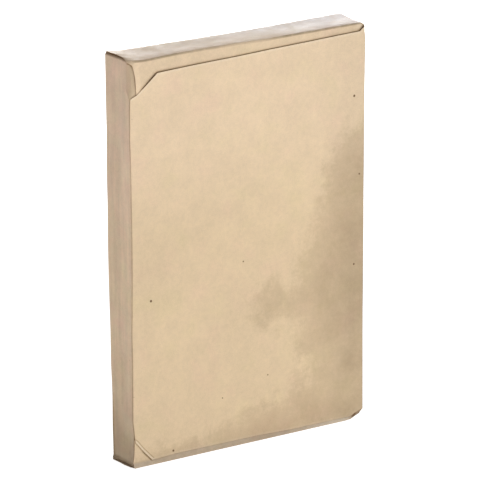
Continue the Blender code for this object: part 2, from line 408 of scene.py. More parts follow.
# How the folded sheet sits on the brick, in millimetres. A push is an amount, or a table read
# along one axis, and the ranges of x, y and z in which it acts: (start, full), or with a far
# end (start, full, fall, end).
bends = {
    # Along each free edge: how far it stands off and how far the flap beneath it sinks, both as
    # (share of the edge, height), how far into the sheet its lift reaches and how it fades, and
    # how far the shadow under the edge reaches out, with its depth at each share
    "edges": {
        "upperCorner": {"lift": ((0, 0), (1, 0)), "reach": 3.0, "power": 2,
                        "sink": ((0, 0), (1, 0)), "shadow": (0.05, ((0, 0.6), (1, 0.6)))},
        "upperMitre": {"lift": ((0, 0), (0.2, 0.03), (0.3, 0.12), (0.8, 0.34), (1, 0.32)),
                       "reach": 6.0, "power": 2,
                       "sink": ((0, 0.0), (0.2, 0.04), (0.3, 0.16), (0.8, 0.28), (1, 0.2)),
                       "shadow": (0.1, ((0, 0.9), (0.1, 0.2), (0.2, 0.15), (0.3, 1.0)))},
        "upperEdge": {"lift": ((0, 0.32), (0.04, 0.2), (0.12, 0.13), (0.5, 0.12), (1, 0.14)),
                      "reach": 5.0, "power": 2, "sink": ((0, 0.3), (0.1, 0.22), (1, 0.18)),
                      "shadow": (0.35, ((0, 1.0), (1, 1.0)))},
        "upperFlare": {"lift": ((0, 0.12), (1, 0.05)), "reach": 2.0, "power": 2,
                       "sink": ((0, 0.3), (1, 0.4)), "shadow": (0.35, ((0, 0.9), (1, 0.6)))},
        "lowerMitre": {"lift": ((0, 0.04), (0.4, 0.1), (0.6, 0.36), (1, 0.36)), "reach": 0.9,
                       "power": 1, "sink": ((0, 0.15), (1, 0.15)),
                       "shadow": (0.6, ((0, 0.15), (0.45, 0.2), (0.6, 0.9), (1, 0.9)))},
        "lowerEdge": {"lift": ((0, 0.24), (0.15, 0.1), (1, 0.05)), "reach": 2.5, "power": 2,
                      "sink": ((0, 0.1), (1, 0.12)),
                      "shadow": (0.3, ((0, 0.5), (0.15, 0.15), (0.7, 0.15), (1, 0.25)))},
        "lowerFlare": {"lift": ((0, 0.05), (1, 0.0)), "reach": 2.0, "power": 2,
                       "sink": ((0, 0.12), (1, 0.3)), "shadow": (0.4, ((0, 0.3), (1, 0.5)))},
        "leftEdge": {"lift": ((0, 0.05), (0.3, 0.02), (0.6, 0.06), (0.8, 0.02), (1, 0.05)),
                     "reach": 3.0, "power": 2, "sink": ((0, 0), (1, 0))},
    },
    "leftEdgeFrom": 10.2,
    "leftEdgeTo": 134.5,
    "shadowIn": 0.1,                  # how far inside the outline the shadows are full
    # How much of the sink each flap takes, and between which distances from the sheet's outline
    "pressed": {"endFlaps": (1.0, (-0.9, 0.0, 1.5, 5)), "leftFlap": (1.2, (-2.0, -0.6, 2.5, 7))},
    "stripBulge": (0.14, (0.9, 2.6)),           # of the top flap, clear of the sheet's edge
    "leftBulge": (0.3, {"x": (2.4, 1.0), "z": (11, 13, 134, 135.5)}),
    # How far the upright edges stand out to their side
    "leftFrontEdge": (("z", ((2, 0), (5, -0.5), (9.5, -0.65), (14, -0.1), (18, 0.28), (33, 0.18),
                             (48, 0.34), (62, 0.22), (77, 0.02), (91, 0), (105, 0.3),
                             (120, 0.6), (131, 0.5), (140, 0.1))), {"x": (5, 0.5), "y": (8, 3)}),
    "leftBackEdge": (("z", ((0, 0.3), (10, 0.5), (24, 0.4), (35, 0.6), (48, 0.25), (61, 0.15),
                            (80, 0.33), (95, 0.25), (108, 0.45), (120, 0.35), (132, 0.55),
                            (148, 0.65))), {"x": (5, 0.5), "y": (6, 15)}),
    "rightEdge": (("z", ((0, 0.55), (12, 0.5), (30, 0.42), (63, 0.45), (99, 0.52), (125, 0.62),
                         (136, 0.8))), {"x": (86, 99)}),
    # The top end rises towards the back, sags between its ends and is crowned along its front
    "topTilt": (0.85, {"z": (139, 146)}),
    "topSag": 0.5,
    "topCrown": (0.2, {"x": (5, 18, 44, 60), "y": (10, 2), "z": (145.5, 147)}),
    "frontRise": (("x", ((0, 0.12), (12, 0.28), (20, 0.4), (44, 0.45), (58, 0.3), (70, 0.4),
                         (85, 0.5), (99.5, 0.5))), {"y": (11, 2), "z": (145.5, 147)}),
    "leftRise": (0.34, {"x": (7, 0.5), "z": (139, 146)}),
    # The upper left front edge is rounded off above the sheet, and its flap is puckered
    "cornerRadius": 2.6,
    "corner": {"z": (134, 138.5), "y": (6, 1)},
    "puckers": (0.1, {"z": (135, 139), "x": (3.4, 2.4), "y": (6, 2)}),
    "puckerRuns": (5.5, 0.35),        # radians for each millimetre of x and z
    "stripSwing": (0.35, 5.0),        # how far the top flap's right end swings back, and its length
    # The top flap gapes at its back left corner, where the left side stands lower, and its
    # back edge is crumpled
    "gape": (0.18, 7.0, (2, 15)),     # its height, how fast it closes along x, and where along y
    "leftHump": {"y": (0, 5, 9, 15), "x": (14, 0)},
    "humpUp": 0.22,
    "humpIn": 0.4,
    "crumple": (0.16, 8, 0.2, (6, 15)),         # height, size, squeeze along y, and where
    "seamDrop": (0.2, {"y": (4, 15), "z": (138, 146.5)}),
    "edgeRise": (("x", ((9, 0), (18, 0.42), (54, 0.42), (66, 0))),       # the sheet's lower edge
                 {"z": (0.7, 1.4, 3, 14)}),
    # The foot's front fold is sharp and stands forward, and the foot end shows as a narrow
    # ledge under the left side
    "footBulge": (0.8, {"z": (2.0, 0.4)}),
    "footSharpness": 0.75,
    "ledge": (("y", ((0, 0.15), (3, 0.55), (6, 0.95), (9, 0.88), (12, 0.62), (15.5, 0.5))),
              {"x": (6, 0.8), "z": (0.6, 0)}),
    # The narrow sides: long soft wrinkles, and a slack fold that runs down to the left front
    # corner, with a ridge low on the left side
    "streaks": (0.07, 0.12, 2.6),     # depth, squeeze along z, and size
    # Pulled in under a line of (y, z) points, by how much and how far below it
    "slack": (0.35, ((0.4, 10.6), (13.3, 32.7)), (2, 15)),
    "ridge": (0.14, 0.35, ((1.2, 1.25), (11.3, 1.6), (14, 1.2), (15.5, 0.9))),    # height, width
    "underRidge": (0.1, (0, 0.8)),
    "footCorner": (0.35, {"x": (3, 0.5), "y": (9, 15)}),
    "waves": ((0.10, 26.0), (0.05, 9.0)),       # height and length
    "wavesFrom": (0, 8),              # they are weaker at the foot
    "wavesAtFoot": 0.4,
    # The pack is thinner at its foot
    "depthAtFoot": 13.2,
    "lean": (20.0, 72.0),
    # The lower right corner is pushed in: its rise along x, and how high it reaches
    "footDent": (((91.0, 0), (94.0, 0.2), (95.2, 0.95), (99.5, 2.6)), 24.0),
    "dentAtBack": 0.7,                # what is left of it there
    "headDent": (1.3, 2.4, 3.2),      # and the upper right one: drop, width and height
    "seeds": {"streaks": 2, "crumple": 5, "x": 11, "y": 23, "z": 37},
}


def edgeOf(name, w, cut, b):
    if name == "leftEdge":
        return (w["sheetStart"], b["leftEdgeFrom"]), (w["sheetStart"], b["leftEdgeTo"])
    return cut[name]


def fromSegment(x, z, start, end):
    along = np.array(end) - np.array(start)
    share = np.clip(((x - start[0]) * along[0] + (z - start[1]) * along[1]) / (along @ along), 0, 1)
    gap = np.hypot(x - start[0] - share * along[0], z - start[1] - share * along[1])
    return gap, share


def beyondLine(x, z, start, end):
    along = np.array(end) - np.array(start)
    along = along / np.hypot(*along)
    return (z - start[1]) * along[0] - (x - start[0]) * along[1]


def insideSheet(x, z, cut):
    # Distance from the sheet's outline, positive on the sheet
    within = {name: -beyondLine(x, z, *outwards(cut, name)) for name in
              ("upperEdge", "upperFlare", "lowerEdge", "lowerFlare", "upperMitre", "upperCorner",
               "lowerMitre")}
    upper = np.maximum(within["upperEdge"], within["upperFlare"])
    lower = np.maximum(within["lowerEdge"], within["lowerFlare"])
    corner = np.maximum(within["upperMitre"], within["upperCorner"])
    mitres = np.minimum(corner, within["lowerMitre"])
    return np.minimum(np.minimum(upper, lower), mitres)


def wave(points, length, seed):
    return np.array([noise.noise(Vector(p) / length + Vector((seed, 0, 0))) for p in points])


def depthAt(z, b):
    share = smooth(z, *b["lean"])
    return b["depthAtFoot"] + share * (packDepth - b["depthAtFoot"])


class SheetPoints:
    # The sheet's points as folded, in millimetres, where each of them moves to, and which
    # panel or fold it belongs to
    def __init__(self, mesh, w, cut):
        flat = np.zeros(len(mesh.vertices) * 3)
        mesh.vertices.foreach_get("co", flat)
        x, y, z = ((flat.reshape(-1, 3) - (low.x, low.y, 0)) / mm).T
        self.x, self.y, self.z = x, y, z
        self.newX, self.newY, self.newZ = x.copy(), y.copy(), z.copy()
        self.topLevel = packHeight - w["topIn"]
        self.inside = insideSheet(x, z, cut)
        self.atHead = z > packHeight / 2
        self.sheet = isAt(y, w["sheetIn"])
        self.endFlaps = isAt(y, w["sheetIn"] + w["flapStep"])
        self.leftFlap = isAt(y, w["sheetIn"] + w["leftStep"])
        self.strip = self.endFlaps & self.atHead
        self.leftSide = isAt(x, w["sideIn"])
        self.rightSide = isAt(x, packWidth - w["sideIn"])
        self.topEnd = isAt(z, self.topLevel)
        self.footEnd = isAt(z, 0)
        self.ears = isAt(z, self.topLevel - w["earDrop"]) | isAt(z, w["earDrop"])
        self.panels = (self.sheet | self.endFlaps | self.leftFlap | self.leftSide
                       | self.rightSide | self.topEnd | self.footEnd | self.ears)
        self.folded = ~(self.panels | isAt(y, packDepth))
        self.findFolds(w)

    def findFolds(self, w):
        x, y, z = self.x, self.y, self.z
        right = packWidth - x
        offSheet = ~(self.sheet | self.endFlaps)
        folded = self.folded
        # Beside the front layers, and along the left edge
        self.beside = offSheet & (y < 2)
        self.leftFold = self.beside & (x < 1)
        self.leftStrip = self.leftSide | (offSheet & (x < 1.3))
        self.leftCorner = ~self.panels & (x < w["leftFold"] + w["sideIn"])
        self.leftCorner |= self.leftFlap | self.leftSide
        # The folds of the end flaps, and the strips of the front that they make with them
        self.endFold = folded & (y < 3) & (x > 2) & (right > 2)
        self.footFold = ~(self.sheet | self.footEnd | self.ears) & (z < w["endFold"] + hair)
        self.footFold &= (y < 1.2) & (x > 0.05) & (right > 1)
        self.footStrip = (self.endFold | self.endFlaps) & (z < 2)
        self.headStrip = (self.strip | self.endFold) & (z > 146)
        self.headFront = (self.endFlaps | (y < 2)) & ~self.sheet & (z > 144)
        # The sliver of the left flap that shows at the upper left corner
        self.sliver = (self.leftFlap | folded) & (x < 3.6) & (y < 3) & (z > 130) & ~self.endFold
        # The left side with its ears, up to the folds that it shares with the back and the top
        self.lowered = self.leftSide | self.ears | (x < w["sideIn"] + w["endFold"] + hair)
        self.lowered &= self.atHead & ~self.topEnd
        backFold = y > packDepth - w["endFold"] - hair
        self.lowered &= ~(backFold & (x > w["sideIn"] + w["backFold"] - hair))
        # The folds that turn the ears in, but not the top flap's own corner
        self.earFold = offSheet & ~(self.topEnd | self.footEnd) & ((x < 1) | (right < 1))
        fromEnd = np.minimum(z, self.topLevel - z)
        self.earFold &= fromEnd < w["endFold"] + w["earDrop"] - hair
        self.earFold &= ~(self.atHead & (y < 1.2) & isAt(x, w["topBorders"][0][0]))

    def moved(self):
        return np.stack([low.x + self.newX * mm, low.y + self.newY * mm,
                         np.maximum(self.newZ, 0) * mm], 1)


def fade(s, ranges):
    # How strongly something acts at each point, from its ranges along the axes
    share = 1.0
    for axis, limits in ranges.items():
        value = getattr(s, axis)
        share = share * (smooth(value, *limits) if len(limits) == 2 else band(value, *limits))
    return share


def push(s, setting):
    # How far a push of the settings moves each point
    amount, ranges = setting
    if isinstance(amount, tuple):
        axis, table = amount
        amount = follow(getattr(s, axis), table)
    return amount * fade(s, ranges)


def liftFreeEdges(s, w, cut, b):
    # Free edges stand off, and the flaps beneath them are pressed in.
    lift, sink, nearest = np.zeros(len(s.x)), np.zeros(len(s.x)), np.full(len(s.x), 99.0)
    for name, edge in b["edges"].items():
        gap, share = fromSegment(s.x, s.z, *edgeOf(name, w, cut, b))
        nearness = np.clip(1 - gap / edge["reach"], 0, 1) ** edge["power"]
        lift = np.maximum(lift, follow(share, edge["lift"]) * nearness)
        sink = np.where(gap < nearest, follow(share, edge["sink"]), sink)
        nearest = np.minimum(gap, nearest)
    s.newY -= np.where(s.sheet, lift, 0)
    for panel, (amount, limits) in b["pressed"].items():
        s.newY += np.where(getattr(s, panel), sink * amount * band(s.inside, *limits), 0)
    bulge, limits = b["stripBulge"]
    s.newY -= np.where(s.strip, bulge * smooth(-s.inside, *limits), 0)
    s.newY -= np.where(s.beside, push(s, b["leftBulge"]), 0)


def shapeTop(s, b):
    sag = b["topSag"] * np.sin(np.pi * np.clip(s.x / packWidth, 0, 1))
    tilt, ranges = b["topTilt"]
    s.newZ += (tilt - sag) * s.y / packDepth * fade(s, ranges)
    s.newZ += np.where(s.sheet, 0, push(s, b["topCrown"]))
    s.newZ += np.where(s.sheet, 0, push(s, b["frontRise"])) + push(s, b["leftRise"])
    radius = b["cornerRadius"]
    fromCorner = np.clip(radius - s.x, 0, radius)
    arc = (radius - np.sqrt(radius ** 2 - fromCorner ** 2)) * fade(s, b["corner"])
    s.newY += np.where(s.sheet, 0, arc)
    alongX, alongZ = b["puckerRuns"]
    puckers = push(s, b["puckers"]) * np.sin(s.x * alongX + s.z * alongZ)
    s.newY += np.where(s.leftFlap, puckers, 0)
    swing, reach = b["stripSwing"]
    atRight = np.clip(1 - (packWidth - s.x) / reach, 0, 1) ** 2
    s.newY += np.where(s.headFront, swing * atRight, 0)


def crumpleTop(s, b):
    gape, length, limits = b["gape"]
    s.newZ += np.where(s.topEnd, gape * np.exp(-s.x / length) * smooth(s.y, *limits), 0)
    hump = fade(s, b["leftHump"])
    s.newZ += np.where(s.topEnd, b["humpUp"] * hump, 0)
    s.newX += np.where(s.topEnd, b["humpIn"] * hump, 0)
    depth, size, squeeze, limits = b["crumple"]
    squeezed = np.stack([s.x, s.y * squeeze, s.z], 1)
    crumple = depth * wave(squeezed, size, b["seeds"]["crumple"]) * smooth(s.y, *limits)
    s.newZ += np.where(s.topEnd, crumple, 0)
    s.newZ -= np.where(s.lowered, push(s, b["seamDrop"]), 0)


def shapeFoot(s, w, b):
    s.newZ += np.where(s.sheet | s.endFlaps, push(s, b["edgeRise"]), 0)
    lowStrip = (s.endFlaps | s.footFold) & (s.z < 3)
    s.newY -= np.where(lowStrip, push(s, b["footBulge"]), 0)
    fromFlap = s.y - w["sheetIn"] - w["flapStep"]
    s.newY -= np.where(s.footFold, b["footSharpness"] * fromFlap, 0)
    s.newZ -= np.where(s.footFold, b["footSharpness"] * s.z, 0)
    atBack = s.folded & (s.y > packDepth - 1)
    s.newX -= np.where(s.footEnd | atBack, push(s, b["ledge"]), 0)


def belowLine(s, line):
    # How far each point lies below a line of (y, z) points
    return follow(s.y, line) - s.z


def wrinkleSides(s, b):
    depth, squeeze, size = b["streaks"]
    streaks = wave(np.stack([s.x, s.y, s.z * squeeze], 1), size, b["seeds"]["streaks"])
    s.newX += np.where(s.leftSide | s.rightSide, depth * streaks, 0)
    slack, line, limits = b["slack"]
    pulledIn = slack * smooth(belowLine(s, line), *limits)
    s.newX += np.where(s.leftSide | s.leftFold, pulledIn, 0)
    height, width, line = b["ridge"]
    under, limits = b["underRidge"]
    below = belowLine(s, line)
    ridge = height * np.exp(-(below / width) ** 2) - under * smooth(below, *limits)
    s.newX += np.where(s.leftSide, ridge, 0)
    s.newX -= np.where(s.z < 1.5, push(s, b["footCorner"]), 0)


def addWaves(s, b):
    points = np.stack([s.x, s.y, s.z], 1)
    aboveFoot = smooth(s.z, *b["wavesFrom"])
    frontShare = b["wavesAtFoot"] + (1 - b["wavesAtFoot"]) * aboveFoot
    for size, length in b["waves"]:
        s.newX += size * wave(points, length, b["seeds"]["x"])
        s.newY += size * wave(points, length, b["seeds"]["y"]) * frontShare
        s.newZ += size * wave(points, length, b["seeds"]["z"]) * aboveFoot


def dentCorners(s, b):
    backwards = np.clip(s.y / packDepth, 0, 1)
    rise, height = b["footDent"]
    kept = 1 - (1 - b["dentAtBack"]) * backwards
    s.newZ += follow(s.x, rise) * np.clip(1 - s.z / height, 0, 1) * kept
    drop, width, height = b["headDent"]
    fromRight = np.clip(1 - (packWidth - s.x) / width, 0, 1)
    fromTop = np.clip(1 - (packHeight - s.z) / height, 0, 1)
    s.newZ -= drop * fromRight ** 2 * fromTop * (1 - backwards)


def bendSheet(piece, w, cut, b):
    s = SheetPoints(piece.data, w, cut)
    liftFreeEdges(s, w, cut, b)
    for name, side in (("leftFrontEdge", -1), ("leftBackEdge", -1), ("rightEdge", 1)):
        s.newX += side * push(s, b[name])
    shapeTop(s, b)
    crumpleTop(s, b)
    shapeFoot(s, w, b)
    wrinkleSides(s, b)
    addWaves(s, b)
    s.newY *= depthAt(s.z, b) / packDepth
    dentCorners(s, b)
    piece.data.vertices.foreach_set("co", s.moved().ravel())
    piece.data.update()
    return s


wrapperPoints = bendSheet(wrapperSheet, wrapper, sheetCut, bends)
print("sheet bent")


# The paper's wear, with its painted shade and painted highlights, kept on its points for the
# materials. All of it runs from 0 to 1, but the stain, which is a distance in millimetres inside
# its border.
wearAndPaintedLight = {
    # Painted shade in the folds, with some wear, for each kind of fold
    "folds": {"plain": 0.45, "rightFront": 0.8, "strip": 0.22, "foot": 0.25},
    # The top's front fold is hardly seen along its middle
    "faint": (15, 28, 52, 68),
    "faintBy": (0.45, 0.5, (34, 45)),       # how much fades, what is added, and where along x
    "footFold": (92, 60),                   # the foot's front fold gets painted shade from the left to here
    # The left front fold gets painted shade, with some wear, most towards its ends
    "leftFold": (0.15, 0.3, 84, (25, 45)),
    # Painted shade along the ridge low on the left side: at the front, added at the back, where,
    # width and place
    "ridge": (0.35, 0.65, (9, 12), 0.5, -0.1),
    # Painted shade in the seam beside the top flap at the upper left corner, narrow below and wide
    # above: its depth and both its borders below, with what is added to each above
    "wide": (144.8, 146.2),
    "seam": ((0.3, 0.55), (-0.35, -0.4), (0.1, -0.1)),
    "seamTo": 147.2,
    "shadeBeneathFlap": (0.95, (0.55, 0.2)),     # its depth just below the flap's corner
    "shadeAtCorner": (0.75, {"y": (1.35, 1.05), "z": (11.0, 10.0)}),    # painted shade at the lower left corner
    "shadeUnderFoot": (0.25, (0.25, 0.05)),      # painted shade right under the foot's front fold
    # Painted shade on the ears and on the right front fold
    "ears": 0.2,
    "earFoldShade": (0.35, 0.3),                # painted shade in the folds that turn the ears in, on the left and on the right
    "earFoldWidth": (0.1, 0.4),
    # A painted highlight where light would catch the sheet's cut edge: near the head, on the lower
    # mitre and elsewhere
    "rim": (0.8, 1.0, 0.25),
    "rimHeadFrom": 100,
    "rimMitreTo": 1.2,
    "rimWidth": (0.85, 0.5),                # how far inside the outline it ends
    # The same painted highlight on the top flap's right end, and a paler band low on the foot's
    # strip
    "topRim": (0.9, (94.5, 98)),
    "footRim": (65, 92, 94, 95.5),
    "crease": (0.85, 0.32),                 # painted shade of a crease: how far it runs inside the lower mitre, and its width
    # Stains that have crept in from the right side and the foot: x, z and radius of each blot
    "stains": ((101, 92.5, 18.5), (98, 72, 20), (94, 56, 23), (59, 50.5, 6.6), (69, 51, 4.2),
               (88, 38, 18), (96, 20, 16), (98, 5, 16), (78, 6, 14), (58, -4, 17),
               (40, -12, 20), (15, -20, 24.5)),
    "backStains": ((101, 84, 15), (99, 66, 13), (96, 45, 17), (90, 30, 9), (98, 14, 17),
                   (80, -2, 15), (52, -10, 17), (18, -20, 24)),
    "throughSide": (2, 14),
    "stainReach": (-12, 20),
    # Painted shade on the narrow sides, as (height, depth), near the front and near the back
    "grime": (((0, 0.85), (10, 0.83), (14, 0.56), (26, 0.39), (32, 0.26), (40, 0.22),
               (50, 0.11), (62, 0.02), (108, 0.05), (120, 0.25), (148, 0.27)),
              ((0, 1.0), (10, 0.98), (14, 0.85), (20, 0.66), (26, 0.43), (40, 0.25),
               (62, 0.16), (110, 0.2), (148, 0.26))),
    "sideShadeToBack": (3, 11),
    "rightSideShade": (0.5, 3),
    "sliverShade": (0.5, (134, 137, 146, 147.5)),
    # Painted cool shade along the foot, below this height, and on the right front fold
    "dust": (1.9, 1.4),
    "rightCoolShade": 0.7,
}


def keep(piece, name, values):
    layer = piece.data.attributes.new(name, "FLOAT", "POINT")
    layer.data.foreach_set("value", values.astype(np.float32))


def blots(x, z, places, blend=2.0):
    total = sum(np.exp((r - np.hypot(x - cx, z - cz)) / blend) for cx, cz, r in places)
    return blend * np.log(np.maximum(total, 1e-9))


def foldWearAndShade(s, b, v):
    # Painted shade in the folds, with some wear, and along the ridge low on the left side
    x, y, z = s.x, s.y, s.z
    amounts = v["folds"]
    fold = np.where(s.folded, amounts["plain"], 0.0)
    fold = np.where(s.folded & (packWidth - x < 1.3) & (y < 3), amounts["rightFront"], fold)
    first, more, limits = v["faintBy"]
    faint = (first + more * smooth(x, *limits)) * band(x, *v["faint"])
    fold = np.where(s.endFold & s.atHead, 1 - faint, fold)
    fold = np.where(s.footStrip, amounts["foot"] * smooth(x, *v["footFold"]), fold)
    fold = np.where(s.strip, amounts["strip"], fold)
    fold = np.where((z > 134) & (x < 4) & ~s.endFold & (y < 3), 0.0, fold)
    least, more, middle, limits = v["leftFold"]
    leftFold = s.folded & (x < 0.6) & (y < 1.2) & (z > 3) & (z < 134)
    fold = np.where(leftFold, least + more * smooth(abs(z - middle), *limits), fold)
    least, more, limits, width, middle = v["ridge"]
    ridgeLine = b["ridge"][-1]
    onRidge = np.clip(1 - abs(belowLine(s, ridgeLine) - middle) / width, 0, 1)
    return np.where(s.leftSide, (least + more * smooth(y, *limits)) * onRidge, fold)


def edgeShadow(s, w, cut, b):
    # Painted shadow under each free edge of the sheet, reaching a little way out of it.
    out, dark = np.zeros(len(s.x)), np.zeros(len(s.x))
    nearest = np.full(len(s.x), 99.0)
    for name, edge in b["edges"].items():
        if "shadow" in edge:
            reach, depths = edge["shadow"]
            gap, share = fromSegment(s.x, s.z, *edgeOf(name, w, cut, b))
            out = np.where(gap < nearest, reach, out)
            dark = np.where(gap < nearest, follow(share, depths), dark)
            nearest = np.minimum(gap, nearest)
    return np.where(s.endFlaps, dark * smooth(s.inside, -out, b["shadowIn"]), 0.0)


def seamShadow(s, w, v):
    # Painted shadow the same way along the border of the top flap, at the upper left corner
    levels = s.topLevel - w["endFold"] - np.cumsum((0, *w["endFlap"]))
    lefts = [left for left, right in w["topBorders"]]
    border = np.interp(s.z, levels[::-1], lefts[::-1])
    wide = smooth(s.z, *v["wide"])
    depth, start, end = (below + more * wide for below, more in v["seam"])
    seam = depth * smooth(s.x - border, start, end)
    beneath = np.interp(s.x, lefts[:2], levels[:2]) - s.z
    depth, limits = v["shadeBeneathFlap"]
    return np.where(s.x < lefts[1], np.maximum(seam, depth * smooth(beneath, *limits)), seam)


def paintedShadeUnderLayers(s, w, cut, b, v):
    # Painted shade on what lies under another layer
    x, y, z = s.x, s.y, s.z
    under = edgeShadow(s, w, cut, b)
    under = np.where(s.sliver & (y > 0.5) & (z < v["seamTo"]), seamShadow(s, w, v), under)
    under = np.where(s.leftCorner & (z < 14), np.maximum(push(s, v["shadeAtCorner"]), under), under)
    depth, limits = v["shadeUnderFoot"]
    under = np.where(s.endFold & (z < limits[0]), depth * smooth(z, *limits), under)
    rightFold = s.folded & (packWidth - x < 0.3) & (y < 0.8) & (z < 146)
    under = np.where(rightFold | s.ears, v["ears"], under)
    fromEar = np.minimum(abs(z - w["earDrop"]), abs(z - s.topLevel + w["earDrop"]))
    atLeft, atRight = v["earFoldShade"]
    deep = np.where(x > packWidth / 2, atRight, atLeft)
    return np.where(s.earFold, deep * (1 - smooth(fromEar, *v["earFoldWidth"])), under)


def paintedCutRimHighlight(s, fromMitre, v):
    # A painted highlight along the sheet's cut edge and on the top flap's right end, and a paler
    # band on the foot's strip
    atHead, atMitre, elsewhere = v["rim"]
    brightness = np.where(fromMitre < v["rimMitreTo"], atMitre, elsewhere)
    brightness = np.where(s.z > v["rimHeadFrom"], atHead, brightness)
    rim = np.where(s.sheet, brightness * smooth(s.inside, *v["rimWidth"]), 0.0)
    depth, limits = v["topRim"]
    rim = np.where(s.headStrip, depth * smooth(s.x, *limits), rim)
    return np.where(s.footStrip, band(s.x, *v["footRim"]), rim)


def paintedSideShade(s, v):
    # Painted shade on the narrow sides, darkest low down, and on the sliver at the upper left
    # corner
    nearFront, nearBack = (follow(s.z, table) for table in v["grime"])
    grime = nearFront + (nearBack - nearFront) * smooth(s.y, *v["sideShadeToBack"])
    foot = np.where(s.leftStrip, grime, 0.0)
    foot = np.where(packWidth - s.x < 1, grime * smooth(s.y, *v["rightSideShade"]), foot)
    depth, limits = v["sliverShade"]
    return np.where(s.sliver, np.maximum(foot, depth * band(s.z, *limits)), foot)


def keepWearAndPaintedLight(piece, s, w, cut, b, v):
    # Painted shade with some wear in the folds, painted shade under other layers, and a painted
    # highlight along the cut edges
    keep(piece, "fold", foldWearAndShade(s, b, v))
    keep(piece, "under", paintedShadeUnderLayers(s, w, cut, b, v))
    fromMitre, share = fromSegment(s.x, s.z, *cut["lowerMitre"])
    keep(piece, "rim", paintedCutRimHighlight(s, fromMitre, v))
    # Painted shade along a crease inside the lower mitre
    inset, width = v["crease"]
    crease = np.clip(1 - abs(fromMitre - inset) / width, 0, 1)
    keep(piece, "crease", np.where(s.sheet, crease, 0.0))
    throughSide = smooth(s.y, *v["throughSide"])
    onFront, onBack = (blots(s.x, s.z, v[name]) for name in ("stains", "backStains"))
    stain = onFront * (1 - throughSide) + onBack * throughSide
    keep(piece, "stain", np.clip(stain, *v["stainReach"]))
    # Painted shade on the narrow sides
    keep(piece, "foot", paintedSideShade(s, v))
    # Cool painted shade along the foot and on the right front fold
    dust = np.where(s.endFlaps | s.footEnd | s.endFold, smooth(s.z, *v["dust"]), 0)
    rightFold = s.folded & (packWidth - s.x < 0.6) & (s.y < 1.2)
    keep(piece, "dust", np.where(rightFold, v["rightCoolShade"], dust))


def giveThickness(piece, w):
    solid = piece.modifiers.new("thickness", "SOLIDIFY")
    solid.thickness = w["paper"] * mm
    solid.offset = -1                  # inwards
    solid.material_offset_rim = 1      # the cut edge has a material of its own
    applyModifiers(piece)


keepWearAndPaintedLight(wrapperSheet, wrapperPoints, wrapper, sheetCut, bends, wearAndPaintedLight)
giveThickness(wrapperSheet, wrapper)
print("sheet worn and thick:", len(wrapperSheet.data.polygons), "faces")


# What the paper is folded round
core = {
    "inset": 1.6,
    "back": 0.3,             # it stands a little nearer to the back
    "rows": (2, 100, 160, 29),
    "bevel": 1.0,
    "segments": 3,
}


def brickCore(c, b):
    deselectAll()
    centre = place(packWidth / 2, packDepth / 2 + c["back"], packHeight / 2)
    bpy.ops.mesh.primitive_cube_add(size=1, location=centre)
    piece = bpy.context.object
    piece.name = "brick_core"
    piece.data.name = "brick_core"
    sides = [(side - 2 * c["inset"]) * mm for side in (packWidth, packDepth, packHeight)]
    bpy.ops.transform.resize(value=sides)
    bpy.ops.object.transform_apply(location=True, rotation=True, scale=True)
    bpy.ops.object.mode_set(mode="EDIT")
    ladder(piece, *c["rows"])
    bpy.ops.object.mode_set(mode="OBJECT")
    for vert in piece.data.vertices:
        vert.co.y = low.y + (vert.co.y - low.y) * depthAt(vert.co.z / mm, b) / packDepth
    bevel = piece.modifiers.new("edges", "BEVEL")
    bevel.width = c["bevel"] * mm
    bevel.segments = c["segments"]
    applyModifiers(piece)
    return piece


brick = brickCore(core, bends)
print("core made:", len(brick.data.polygons), "faces")


